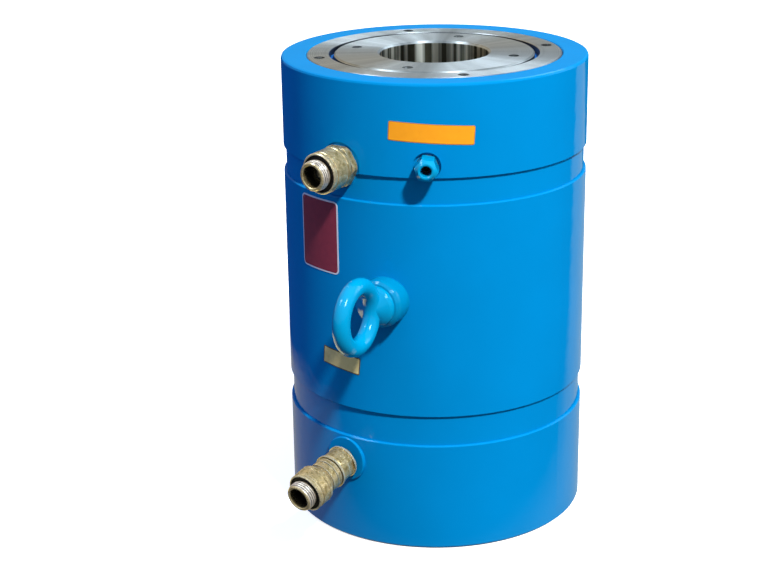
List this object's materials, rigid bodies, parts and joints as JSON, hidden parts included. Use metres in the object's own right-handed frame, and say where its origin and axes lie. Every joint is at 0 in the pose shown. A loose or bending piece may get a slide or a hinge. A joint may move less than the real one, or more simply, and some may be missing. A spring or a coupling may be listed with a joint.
{
  "type": "hollow plunger hydraulic cylinder",
  "caption": "Tall round blue hydraulic cylinder with a centre hole right through it, flush steel plunger, lifting eye, relief valve and oil couplers on its side.",
  "frame": {"origin": "centre of the centre hole at the base face", "axes": "+Z along the plunger axis, out of the head; -Y towards the oil ports"},
  "size_m": [0.3, 0.382, 0.464],
  "materials": {
    "blue_paint": "gloss",
    "turned_steel": "turned",
    "ground_steel": "ground and polished",
    "bored_steel": "bored",
    "yellow_zinc": "yellow passivated",
    "black_rubber": "matt",
    "blue_wiper": "satin",
    "bearing_strip": "satin",
    "spring_steel": "drawn wire",
    "bright_steel": "bright",
    "black_oxide": "black oxide"
  },
  "bodies": {
    "cylinder": {"barrel": "blue_paint", "lower_port_boss": "blue_paint", "lifting_boss": "blue_paint", "eye_bolt": "blue_paint", "gland_nut": "turned_steel", "gland_seal": "black_rubber", "rod_wiper": "blue_wiper", "rod_seal": "black_rubber", "rod_bearing": "bearing_strip", "centre_tube": "bored_steel", "centre_tube_seal": "black_rubber", "upper_nipple": "yellow_zinc", "upper_coupler": "yellow_zinc", "upper_seal_ring": "black_rubber", "upper_spring": "spring_steel", "lower_adapter": "yellow_zinc", "lower_coupler": "yellow_zinc", "lower_seal_ring": "black_rubber", "lower_spring": "spring_steel", "relief_body": "blue_paint", "relief_washer": "spring_steel", "relief_adjuster": "black_oxide", "relief_spring": "spring_steel"},
    "plunger_assembly": {"plunger": "ground_steel", "saddle": "turned_steel", "piston_seal": "black_rubber", "piston_band": "bearing_strip", "tube_seal": "black_rubber", "tube_band": "bearing_strip"},
    "upper_poppet_valve": {"upper_poppet": "bright_steel"},
    "lower_poppet_valve": {"lower_poppet": "bright_steel"},
    "relief_poppet_valve": {"relief_poppet": "bright_steel"}
  },
  "joints": [
    {"name": "plunger_stroke", "type": "slide", "parent": "cylinder", "child": "plunger_assembly", "axis": [0, 0, 1], "range_m": [0, 0.25]},
    {"name": "upper_poppet_open", "type": "slide", "parent": "cylinder", "child": "upper_poppet_valve", "axis": [0, 0.9981, 0.061], "range_m": [0, 0.004], "stiffness_N_per_m": 1500, "springref_m": -0.004, "deforming": ["upper_spring"]},
    {"name": "lower_poppet_open", "type": "slide", "parent": "cylinder", "child": "lower_poppet_valve", "axis": [0, 0.9799, 0.1994], "range_m": [0, 0.004], "stiffness_N_per_m": 1500, "springref_m": -0.004, "deforming": ["lower_spring"]},
    {"name": "relief_poppet_lift", "type": "slide", "parent": "cylinder", "child": "relief_poppet_valve", "axis": [0.5476, -0.8368, 0], "range_m": [0, 0.0025], "stiffness_N_per_m": 6000, "springref_m": -0.003, "deforming": ["relief_spring"]}
  ]
}
